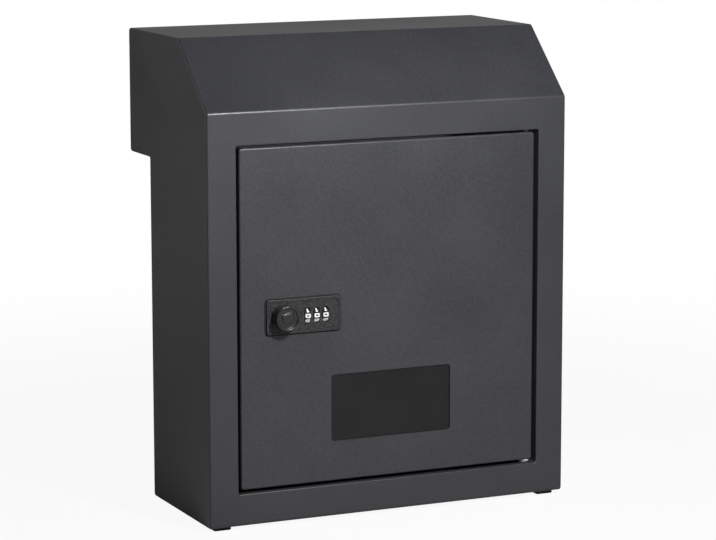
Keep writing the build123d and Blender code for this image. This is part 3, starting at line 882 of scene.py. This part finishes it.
@dataclass
class DialNumbers:
    """Plain numbers from 0 to 9 round each wheel, painted a hair above its flats."""

    shop: Workshop
    width: float = 4.55 * MM
    height: float = 3.35 * MM
    stroke: float = 1.15 * MM
    thickness: float = 0.05 * MM
    crossing_lift: float = 0.1  # what each further stroke adds to the thickness, where two cross
    sunk: float = 0.05 * MM
    longest_side: float = 0.35
    rounding_passes: int = 3

    def build(self) -> None:
        """Makes one set of numbers for each wheel, on flats at half its depth from its axle."""
        for joint in frame["joints"]:
            body = joint["child"]
            if not body.startswith("dial_"):
                continue
            index = body.removeprefix("dial_")
            low, high = node_box(f"dial_wheel_{index}")
            axle, flat = np.array(joint["pos_m"]), (high[1] - low[1]) / 2
            shell = Shell()
            for digit, strokes in DIGIT_STROKES.items():
                for order, stroke in enumerate(strokes):
                    lift = self.thickness * (1 + self.crossing_lift * order)
                    ribbon = self.ribbon(self.rounded(np.array(stroke, float)), lift)
                    shell.add(self.wrapped(ribbon, digit, axle, flat))
            piece = shell.build(f"dial_numbers_{index}", self.shop.number_paint)
            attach(piece, body)
            LOG.info("numbers on wheel %s", index)

    def rounded(self, path: Array) -> Array:
        """Corner cutting: each pass replaces a corner by points a quarter along its two sides."""
        path = divided(path, self.longest_side)
        for _ in range(self.rounding_passes):
            near = 0.75 * path[:-1] + 0.25 * path[1:]
            far = 0.25 * path[:-1] + 0.75 * path[1:]
            cut = np.stack([near, far], axis=1).reshape(-1, 2)
            path = np.concatenate([path[:1], cut, path[-1:]])
        return path

    def ribbon(self, path: Array, lift: float) -> Array:
        """Flat ribbon of the stroke's width along a path, with rounded ends.

        At a distance s below w from an end, the half width is w * sqrt(1 - 0.98 (1 - s / w) ** 2),
        so the end itself stays a little open.

        Args:
            path: Points in half widths and half heights of the number.
            lift: Height of the paint.

        Returns:
            Grid of four corners for each point: x, y and height.
        """
        half = self.stroke / 2
        line = path * np.array([self.width / 2 - half, self.height / 2 - half])
        closed = np.allclose(line[0], line[-1])
        along = np.gradient(line, axis=0)
        if closed:
            along[0] = along[-1] = line[1] - line[-2]
        along /= np.linalg.norm(along, axis=1, keepdims=True)
        steps = np.linalg.norm(np.diff(line, axis=0), axis=1)
        run = np.concatenate([[0.0], np.cumsum(steps)])
        tuck = np.clip(1 - np.minimum(run, run[-1] - run) / half, 0, 1)
        wide = np.full(len(line), half) if closed else half * np.sqrt(1 - 0.98 * tuck**2)
        across = np.stack([-along[:, 1], along[:, 0]], axis=1) * wide[:, None]
        corners = [(1, -self.sunk), (1, lift), (-1, lift), (-1, -self.sunk)]
        level = np.ones(len(line))
        rows = [np.column_stack([line + side * across, h * level]) for side, h in corners]
        return np.stack(rows, axis=1)

    def wrapped(self, ribbon: Array, digit: int, axle: Array, flat: float) -> Array:
        """Lays a number on its flat of the wheel.

        The flat of digit k faces (0, -cos a, sin a), where a is k tenths of a turn, and its upward
        direction is (0, sin a, cos a).

        Args:
            ribbon: Grid of x, y and height above the flat.
            digit: The number, which sets the flat.
            axle: A point on the wheel's axis.
            flat: Distance from the axis to the flats.

        Returns:
            Grid of points in the part's frame.
        """
        angle = FULL_TURN * digit / len(DIGIT_STROKES)
        outward = np.array([0.0, -math.cos(angle), math.sin(angle)])
        upward = np.array([0.0, math.sin(angle), math.cos(angle)])
        sideways = np.array([1.0, 0.0, 0.0])
        x, y, height = np.split(ribbon, 3, axis=-1)
        return axle + x * sideways + y * upward + (flat + height) * outward


@dataclass
class PlateSealShadeLine:
    """Thin black rubber bead on the door round the plate of the lock, also a painted shadow line: its black stands
    in for the shade in the gap round the plate.
    """

    shop: Workshop
    width: float = 1.1 * MM
    height: float = 0.7 * MM
    corner: float = 2.5 * MM
    door_front: float = -125.0 * MM
    sides: int = 160
    rings: int = 9

    def build(self) -> None:
        """Makes the bead.

        Its section is a half ellipse, w * (1 + cos u) / 2 wide of the plate and h * sin u high,
        carried round a rectangle with rounded corners.
        """
        low, high = (corner[[0, 2]] for corner in node_box("lock_housing"))
        angle = ring(self.sides)
        ray = np.stack([np.cos(angle), np.sin(angle)], axis=-1)
        corners = (low + high) / 2 + np.sign(ray) * ((high - low) / 2 - self.corner)
        arch = np.linspace(0, math.pi, self.rings)[:, None]
        reach = self.corner + self.width * (0.5 + 0.5 * np.cos(arch))
        flat = corners + reach[..., None] * ray
        front = self.door_front - self.height * np.sin(arch) * np.ones_like(angle)
        shell = Shell()
        shell.add(np.stack([flat[..., 0], front, flat[..., 1]], axis=-1), wrap_rows=True)
        # the bead's black also paints the shadow in the gap round the lock plate
        self.shop.add(shell, "lock_seal_shade_line", "black_rubber", "door")


@dataclass(frozen=True)
class ScrewSize:
    """Head height and shank radius of a screw, and its drive."""

    head: float
    shank: float
    recess: Recess = Recess.CROSS

    def along(self, axis: Way, low: Array, high: Array) -> Array:
        """The screw that fills a box.

        Args:
            axis: The way in which the shank runs.
            low: Lowest corner of the box.
            high: Highest corner.

        Returns:
            Grid of points in the part's frame.
        """
        run = np.array(axis.value)
        length = np.abs(run) @ (high - low)
        radius = (high - low)[2 if axis in (Way.LEFT, Way.RIGHT) else 0] / 2
        screw = MachineScrew(radius, self.head, self.shank, length - self.head, self.recess)
        return Seat((low + high) / 2 + run * (self.head - length / 2), axis).place(screw.surface())


@dataclass
class Fasteners:
    """Screws, nuts and push nuts, each in place of its plain solid."""

    shop: Workshop
    foot_screw: ScrewSize = ScrewSize(1.6 * MM, 2.0 * MM)
    lock_screw: ScrewSize = ScrewSize(1.2 * MM, 1.0 * MM)
    cam_screw: ScrewSize = ScrewSize(2.4 * MM, 2.0 * MM, Recess.HEX)
    nut_corner_radius: float = 4.0 * MM
    nut_bore_radius: float = 2.0 * MM
    nut_crease_deg: float = 25.0
    stud_radius: float = 1.5 * MM

    def build(self) -> None:
        """Makes every group of fasteners."""
        self.screws("foot_screws", 4, self.foot_screw, "foot_screw_set", "cabinet", Way.UP)
        self.foot_nuts()
        self.screws("lock_cover_screws", 4, self.lock_screw, "cover_screw_set", "door", Way.FRONT)
        self.clamp_screws()
        self.screws("cam_screw", 1, self.cam_screw, "cam_cap_screw", "knob", Way.FRONT)
        self.push_nuts()

    def screws(self, node: str, count: int, size: ScrewSize, name: str, body: str,
               axis: Way) -> None:
        """Makes a group of screws that run the same way.

        Args:
            node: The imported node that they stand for.
            count: How many there are, 1, 2 or 4.
            size: Their size.
            name: The piece's name.
            body: The body that they move with.
            axis: The way in which their shanks run.
        """
        shell = Shell()
        for low, high in clusters(node, count):
            shell.add(size.along(axis, low, high))
        self.shop.add(shell, name, "zinc_steel", body, node)

    def foot_nuts(self) -> None:
        """Four nuts on the floor sheet."""
        shell = Shell()
        for low, high in clusters("foot_nuts", 4):
            nut = HexNut(self.nut_corner_radius, high[2] - low[2], self.nut_bore_radius)
            seat = Seat(face_middle(low, high, Way.DOWN), Way.UP)
            shell.add(seat.place(nut.surface()), wrap_rows=True)
        crease = self.nut_crease_deg
        self.shop.add(shell, "foot_nut_set", "zinc_steel", "cabinet", "foot_nuts", crease)

    def clamp_screws(self) -> None:
        """Two screws through the ears of the clamp, each with its head on the outside."""
        shell = Shell()
        centre = node_centre("lock_clamp_screws")[0]
        for low, high in clusters("lock_clamp_screws", 2):
            axis = Way.LEFT if low[0] + high[0] > 2 * centre else Way.RIGHT
            shell.add(self.lock_screw.along(axis, low, high))
        self.shop.add(shell, "clamp_screw_set", "zinc_steel", "door", "lock_clamp_screws")

    def push_nuts(self) -> None:
        """Four push nuts on the window's studs."""
        shell = Shell()
        for low, high in clusters("window_push_nuts", 4):
            nut = PushNut((high[0] - low[0]) / 2, high[1] - low[1], self.stud_radius)
            seat = Seat(face_middle(low, high, Way.FRONT), Way.REAR)
            shell.add(seat.place(nut.surface()), wrap_rows=True)
        self.shop.add(shell, "push_nut_set", "zinc_steel", "door", "window_push_nuts")


@dataclass
class Mouldings:
    """Feet, bumpers and hinge bushes."""

    shop: Workshop
    foot_recess: float = 3.9 * MM
    foot_recess_depth: float = 2.0 * MM
    foot_hole: float = 2.1 * MM
    foot_corner: float = 1.2 * MM
    foot_tread_edge: float = 0.3 * MM
    foot_gather: float = 0.15  # how far the angles are drawn towards the corners
    foot_sides: int = 96
    bumper_rows: int = 25
    bumper_sides: int = 96
    bumper_powers: tuple[float, float, float] = (0.35, 0.5, 0.22)  # bulge, crown and corners
    bush_bore: float = 2.05 * MM
    bush_barrel: float = 2.9 * MM
    bush_barb: float = 3.4 * MM
    bush_rim_height: float = 2.6 * MM
    bush_rim_foot: float = 3.3 * MM
    lip_sheet: float = 1.2 * MM
    bush_sides: int = 64

    def build(self) -> None:
        """Makes every moulded piece."""
        self.feet()
        self.bumpers()
        self.lower_bush()
        self.upper_bush()

    def feet(self) -> None:
        """Four low square feet, each with a round countersunk screw hole.

        The outline of a row is its reach times 1 - s + s * square(a), where square(a) is the radius
        of a unit square with rounded corners at the angle a, and s is 0 at the hole, 1 outside.
        """
        shell = Shell()
        recess, hole, edge = self.foot_recess, self.foot_hole, self.foot_tread_edge
        turn = ring(self.foot_sides)
        turn = turn + self.foot_gather * np.sin(4 * turn)
        for low, high in clusters("rubber_feet", 4):
            half, tall = (high[0] - low[0]) / 2, high[2] - low[2]
            floor = tall - self.foot_recess_depth
            profile = rounded_profile([
                (hole, floor / 2, 0.0),
                (hole, 0.0, 0.1 * MM),
                (half - 0.2 * MM, 0.0, 0.1 * MM),
                (half, edge, 0.2 * MM),
                (half, tall - edge, 0.2 * MM),
                (half - 0.4 * MM, tall, 0.2 * MM),
                (recess, tall, 0.3 * MM),
                (recess, floor, 0.2 * MM),
                (hole, floor, 0.1 * MM),
                (hole, floor / 2, 0.0),
            ])
            reach, height = np.split(divided(profile, 1.0 * MM), 2, axis=1)
            squared = ease(reach, recess, half - 1.0 * MM)
            reach = reach * (1 - squared + squared * self.square(turn, self.foot_corner / half))
            surface = [reach * np.cos(turn), reach * np.sin(turn), height * np.ones_like(turn)]
            seat = Seat(face_middle(low, high, Way.UP), Way.DOWN)
            shell.add(seat.place(np.stack(surface, axis=-1)))
        self.shop.add(shell, "foot_set", "black_rubber", "cabinet", "rubber_feet")

    @staticmethod
    def square(angle: Array, corner: float) -> Array:
        """Radius of a square with half width 1 and rounded corners.

        Args:
            angle: Angles round the middle.
            corner: Radius of the corners.

        Returns:
            1 / max(C, S) on the sides, and k (C + S) + sqrt(c ** 2 - k ** 2 (C - S) ** 2) in the
            corners, where C and S are the sizes of the cosine and the sine, c is the corner and k
            is 1 - c.
        """
        cosine, sine = np.abs(np.cos(angle)), np.abs(np.sin(angle))
        side = 1 / np.maximum(cosine, sine)
        inset = 1 - corner
        root = np.maximum(corner**2 - inset**2 * (cosine - sine) ** 2, 0.0)
        bend = inset * (cosine + sine) + np.sqrt(root)
        return np.where(side * np.minimum(cosine, sine) > inset, bend, side)

    def bumpers(self) -> None:
        """Two pads on the door stops, with rounded sides and a crowned front.

        A pad is a superellipsoid: x = a * c(u) * c(v), z = b * c(u) * s(v), y = d * s(u), where c
        and s are the cosine and sine raised to a small power with their sign kept.
        """
        shell = Shell()
        for low, high in clusters("door_bumpers", 2):
            half = (high - low) / 2
            lift = np.linspace(-math.pi / 2, math.pi / 2, self.bumper_rows)[:, None]
            turn = ring(self.bumper_sides)
            bulge, crown, corner = self.bumper_powers
            level = self.power(np.cos(lift), bulge)
            x = half[0] * level * self.power(np.cos(turn), corner)
            z = half[2] * level * self.power(np.sin(turn), corner)
            y = half[1] * self.power(np.sin(lift), crown) * np.ones_like(turn)
            shell.add((low + high) / 2 + np.stack([x, y, z], axis=-1))
        self.shop.add(shell, "bumper_pads", "black_rubber", "cabinet", "door_bumpers")

    @staticmethod
    def power(value: Array, exponent: float) -> Array:
        """The value's size raised to a power, with its sign kept."""
        return np.sign(value) * np.abs(value) ** exponent

    def bush(self, place: str, profile: list[tuple[float, float, float]], seat: Seat) -> None:
        """Makes one bush, a turned piece.

        Args:
            place: Which bush it is, upper or lower.
            profile: Radius, height and rounding of each corner.
            seat: Where the profile's axis stands.
        """
        shell = Shell()
        shell.add(seat.place(turned(rounded_profile(profile), self.bush_sides)))
        self.shop.add(shell, f"{place}_nylon_bush", "bush_nylon", "cabinet", f"{place}_hinge_bush")

    def lower_bush(self) -> None:
        """Snap-in bush: a tapered, rounded rim above the lip, a barbed barrel below it."""
        low, high = node_box("lower_hinge_bush")
        total, rim = high[2] - low[2], (high[0] - low[0]) / 2
        bore, barrel, rim_height = self.bush_bore, self.bush_barrel, self.bush_rim_height
        below = rim_height + self.lip_sheet
        self.bush("lower", [
            (bore, total / 2, 0.0),
            (bore, 0.0, 0.25 * MM),
            (rim, 0.0, 0.5 * MM),
            (rim - 0.5 * MM, 1.4 * MM, 0.8 * MM),
            (self.bush_rim_foot, rim_height, 0.1 * MM),
            (barrel, rim_height, 0.05 * MM),
            (barrel, below, 0.05 * MM),
            (self.bush_barb, below + 0.1 * MM, 0.15 * MM),
            (barrel, below + 1.2 * MM, 0.2 * MM),
            (barrel, total, 0.3 * MM),
            (bore, total, 0.15 * MM),
            (bore, total / 2, 0.0),
        ], Seat(face_middle(low, high, Way.UP), Way.DOWN))

    def upper_bush(self) -> None:
        """Drop-in bush: a flange on top of the lip and a barrel that ends flush below it."""
        low, high = node_box("upper_hinge_bush")
        total, flange = high[2] - low[2], (high[0] - low[0]) / 2
        bore, barrel, lip = self.bush_bore, self.bush_barrel, self.lip_sheet
        self.bush("upper", [
            (bore, total / 2, 0.0),
            (bore, 0.0, 0.2 * MM),
            (barrel, 0.0, 0.1 * MM),
            (barrel, lip, 0.05 * MM),
            (flange, lip, 0.1 * MM),
            (flange, total, 0.4 * MM),
            (bore, total, 0.25 * MM),
            (bore, total / 2, 0.0),
        ], Seat(face_middle(low, high, Way.DOWN), Way.UP))


def direction(bearing_deg: float, rise_deg: float) -> Vector:
    """The direction (sin b cos r, cos b cos r, sin r).

    Args:
        bearing_deg: Angle b from the rear towards the right.
        rise_deg: Angle r above the level.

    Returns:
        The unit vector.
    """
    bearing, rise = math.radians(bearing_deg), math.radians(rise_deg)
    level = math.cos(rise)
    return Vector((math.sin(bearing) * level, math.cos(bearing) * level, math.sin(rise)))


@dataclass(frozen=True)
class PhotoView:
    """The photograph's camera, as a pinhole fitted to the corners of the cabinet and its door."""

    position: Point = (-0.9810, -2.2046, 0.4350)
    turn_deg: float = 24.613
    tilt_deg: float = 9.533
    roll_deg: float = -0.074
    focal_px: float = 2880.6
    width_px: int = 716
    sensor_mm: float = 36.0
    clip: tuple[float, float] = (0.05, 60.0)

    def build(self) -> None:
        """Makes the camera and gives it to the scene."""
        roll = math.radians(self.roll_deg)
        ahead = direction(self.turn_deg, -self.tilt_deg)
        level = ahead.cross(Vector((0, 0, 1))).normalized()
        upright = level.cross(ahead)
        right = level * math.cos(roll) + upright * math.sin(roll)
        up = right.cross(ahead)
        camera = bpy.data.objects.new("photo_camera", bpy.data.cameras.new("photo_camera"))
        camera.data.sensor_width = self.sensor_mm
        camera.data.lens = self.focal_px * self.sensor_mm / self.width_px
        camera.data.clip_start, camera.data.clip_end = self.clip
        rotation = Matrix((right, up, -ahead)).transposed().to_4x4()
        camera.matrix_world = Matrix.Translation(self.position) @ rotation
        bpy.context.scene.collection.objects.link(camera)
        bpy.context.scene.camera = camera


@dataclass(frozen=True)
class Lamp:
    """A soft rectangular lamp, placed by its direction from the object.

    The azimuth is 0 in front of the object and 90 at its right.
    """

    name: str
    power: float
    azimuth_deg: float
    elevation_deg: float
    distance: float
    size: tuple[float, float]

    def build(self, target: Point) -> None:
        """Makes the lamp, turned to face a target."""
        away = direction(180 - self.azimuth_deg, self.elevation_deg)
        data = bpy.data.lights.new(self.name, "AREA")
        data.shape = "RECTANGLE"
        data.size, data.size_y = self.size
        data.energy = self.power
        lamp = bpy.data.objects.new(self.name, data)
        lamp.location = Vector(target) + away * self.distance
        lamp.rotation_euler = away.to_track_quat("Z", "Y").to_euler()
        lamp.visible_camera = False
        bpy.context.scene.collection.objects.link(lamp)


@dataclass(frozen=True)
class Studio:
    """Plain pale floor, white backdrop and soft lamps."""

    target: Point = (0.0, -0.06, 0.04)
    lamps: tuple[Lamp, ...] = (
        Lamp("key", 4.8, 3.0, 33.0, 0.72, (0.1, 0.1)),
        Lamp("high_right", 4.9, 12.0, 30.0, 1.6, (0.2, 0.2)),
        Lamp("near_right", 0.3, 20.0, 35.0, 0.8, (0.35, 0.35)),
        Lamp("low_front", 1.2, 10.0, 2.0, 2.0, (0.9, 0.9)),
        Lamp("back_left", 10.8, -125.0, 5.0, 2.2, (1.2, 1.2)),
        Lamp("right_side", 6.0, 95.0, 12.0, 2.2, (1.2, 1.2)),
        Lamp("rear", 10.0, 168.0, 0.0, 2.2, (0.8, 0.3)),
    )
    view_bearing: tuple[float, float] = (0.4165, 0.9091)
    backdrop_from: float = 0.55
    backdrop_full: float = 0.85
    backdrop_gloss: float = 0.34
    floor_half: float = 8.0
    floor_colour: Colour = (0.65, 0.65, 0.65)
    floor_bounce: Colour = (0.3, 0.3, 0.3)
    floor_lift: float = 0.93
    lift_near: float = 0.35
    lift_far: float = 1.2

    def build(self) -> None:
        """Makes the floor, the world and the lamps."""
        self.floor()
        self.world()
        for lamp in self.lamps:
            lamp.build(self.target)
        bpy.context.scene.view_settings.view_transform = "Standard"

    @staticmethod
    def ray(graph: Graph, kind: str) -> Expr:
        """1 for one kind of ray, such as Is Camera Ray."""
        return graph.node("ShaderNodeLightPath", output=kind)

    def gloss(self, graph: Graph) -> Expr:
        """1 for rays that come off gloss or through glass."""
        return self.ray(graph, "Is Glossy Ray").highest(self.ray(graph, "Is Transmission Ray"))

    def backdrop(self, graph: Graph) -> Expr:
        """How far a ray's direction runs towards the backdrop, 1 where it points at its middle."""
        towards = graph.node("ShaderNodeTexCoord", output="Generated")
        settings = {"operation": "DOT_PRODUCT"}
        inputs = {0: towards, 1: (*self.view_bearing, 0.0)}
        return graph.node("ShaderNodeVectorMath", settings, inputs, "Value")

    def floor(self) -> None:
        """Flat floor under the feet that looks white and keeps the object's shadow."""
        half, height = self.floor_half, CAD_BOX[0].z
        shell = Shell()
        line = np.array([-half, half])
        x, y = np.meshgrid(line, line, indexing="ij")
        shell.add(np.stack([x, y, np.full_like(x, height)], axis=-1), wrap_columns=False)
        material = bpy.data.materials.new("studio_floor")
        material.use_nodes = True
        graph = Graph(material.node_tree)
        settings = {"operation": "LENGTH"}
        away = graph.node("ShaderNodeVectorMath", settings, {0: graph.place()}, "Value")
        lift = self.floor_lift + (1 - self.floor_lift) * away.smooth(self.lift_near, self.lift_far)
        camera = self.ray(graph, "Is Camera Ray")
        seen = camera.highest(self.gloss(graph))
        colour = graph.tint(seen, self.floor_bounce, self.floor_colour)
        plain = graph.node("ShaderNodeBsdfDiffuse", None, {"Color": colour})
        glow = graph.node("ShaderNodeEmission", None, {"Color": WHITE, "Strength": 1.0})
        surface = graph.node("ShaderNodeMixShader", None, {0: camera * lift, 1: plain, 2: glow})
        graph.finish("ShaderNodeOutputMaterial", surface)
        shell.build("studio_floor", material)

    def world(self) -> None:
        """White for the camera all round, and for gloss and glass where the backdrop stands."""
        world = bpy.data.worlds.new("studio")
        bpy.context.scene.world = world
        world.use_nodes = True
        graph = Graph(world.node_tree)
        backdrop = self.backdrop(graph).smooth(self.backdrop_from, self.backdrop_full)
        seen = self.ray(graph, "Is Camera Ray")
        strength = seen + self.backdrop_gloss * self.gloss(graph) * backdrop
        surface = graph.node("ShaderNodeBackground", None, {"Color": WHITE, "Strength": strength})
        graph.finish("ShaderNodeOutputWorld", surface)


def main() -> None:
    """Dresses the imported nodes, makes the new pieces and sets up the studio."""
    logging.basicConfig(level=logging.INFO, format="%(name)s: %(message)s")
    PhotoView().build()
    Studio().build()
    shop = Workshop()
    shop.dress_packed_nodes()
    for assembly in (Knob, PlateSealShadeLine, DialNumbers, Fasteners, Mouldings):
        assembly(shop).build()


if __name__ == "__main__":
    main()
